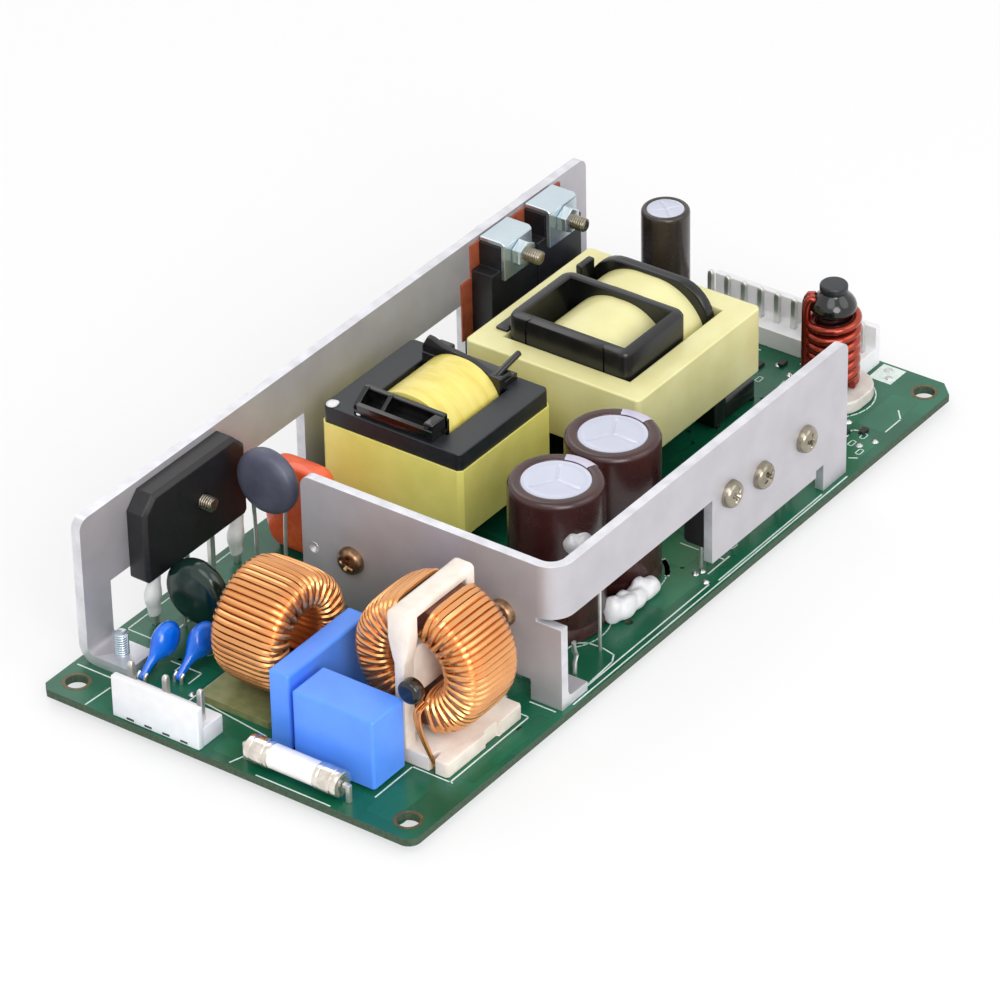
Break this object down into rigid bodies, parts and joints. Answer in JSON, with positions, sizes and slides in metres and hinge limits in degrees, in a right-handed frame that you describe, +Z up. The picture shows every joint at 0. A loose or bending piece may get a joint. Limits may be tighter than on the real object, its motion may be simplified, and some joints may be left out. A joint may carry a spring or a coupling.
{
  "type": "ac-dc power supply",
  "caption": "Open-frame AC-DC power supply: populated circuit board with folded aluminium heat plates, wound chokes, taped transformer, capacitors and pin headers.",
  "frame": {"origin": "middle of the four mounting holes, at the underside of the board; clipped lead tips reach 2 mm below it", "axes": "+X along the board towards the output header, +Y across it towards the long left plate, +Z up out of the component side"},
  "size_m": [0.18, 0.0859, 0.0356],
  "materials": {
    "black_mould": "fine matt mould",
    "blue_case": "moulded case",
    "blue_epoxy": "glossy dipped epoxy",
    "board_green": "solder mask, satin gloss",
    "bobbin_black": "satin phenolic",
    "brown_sleeve": "shrink sleeve",
    "can_aluminium": "etched can",
    "chip_dark": "chip body",
    "clip_zinc": "bright zinc",
    "copper_wire": "enamelled copper",
    "ferrite": "ground ferrite",
    "fuse_ceramic": "glazed tube",
    "fuse_nickel": "nickel",
    "green_epoxy": "glossy dipped epoxy",
    "grey_pad": "thermal sheet",
    "navy_case": "moulded case",
    "olive_board": "bare laminate",
    "orange_epoxy": "dipped epoxy",
    "pale_tape": "polyester tape, pale",
    "plate_aluminium": "satin rolled sheet",
    "red_wire": "red enamelled copper",
    "screw_steel": "zinc and yellow passivated",
    "silicone_red": "silicone sheet",
    "silicone_white": "cured sealant",
    "slate_epoxy": "matt dipped coating",
    "sleeve_white": "tube sleeve",
    "solder": "solder",
    "tinned_lead": "tinned",
    "white_pad": "glazed pad",
    "white_plastic": "satin nylon",
    "yellow_tape": "polyester tape"
  },
  "bodies": {
    "root": {"circuit_board": "board_green", "left_heat_plate": "plate_aluminium", "right_heat_plate": "plate_aluminium", "foot_screws": "screw_steel", "plate_screws": "screw_steel", "rectifier_screw": "screw_steel", "clip_screws": "screw_steel", "spring_clips": "clip_zinc", "side_wall_devices": "black_mould", "front_wall_devices": "black_mould", "wall_device_pads": "grey_pad", "device_leads": "tinned_lead", "clamped_devices": "black_mould", "insulating_sheets": "silicone_red", "bridge_rectifier": "black_mould", "rectifier_leads": "tinned_lead", "lead_sleeves": "sleeve_white", "thermistor": "slate_epoxy", "varistor": "green_epoxy", "film_capacitor": "orange_epoxy", "blue_capacitors": "blue_epoxy", "lead_wires": "tinned_lead", "line_choke_winding": "copper_wire", "line_choke_core": "ferrite", "line_choke_base": "olive_board", "mode_choke_left_winding": "copper_wire", "mode_choke_right_winding": "copper_wire", "mode_choke_core": "ferrite", "mode_choke_frame": "white_plastic", "mode_choke_bead": "ferrite", "tall_box_capacitor": "blue_case", "low_box_capacitor": "blue_case", "fuse_body": "fuse_ceramic", "fuse_caps": "fuse_nickel", "fuse_leads": "tinned_lead", "input_header": "white_plastic", "output_header": "white_plastic", "input_header_pins": "tinned_lead", "output_header_pins": "tinned_lead", "inductor_core": "ferrite", "inductor_tape": "yellow_tape", "inductor_winding": "yellow_tape", "inductor_bobbin": "bobbin_black", "transformer_core": "pale_tape", "transformer_front_winding": "pale_tape", "transformer_rear_winding": "pale_tape", "transformer_bobbin": "bobbin_black", "bulk_capacitor_sleeves": "brown_sleeve", "bulk_capacitor_cans": "can_aluminium", "output_capacitor_sleeve": "brown_sleeve", "output_capacitor_can": "can_aluminium", "output_film_capacitor": "navy_case", "rod_choke_pad": "white_pad", "rod_choke_core": "ferrite", "rod_choke_winding": "red_wire", "sealing_compound": "silicone_white", "top_chip_parts": "chip_dark", "under_chip_parts": "chip_dark", "solder_joints": "solder"}
  },
  "joints": []
}
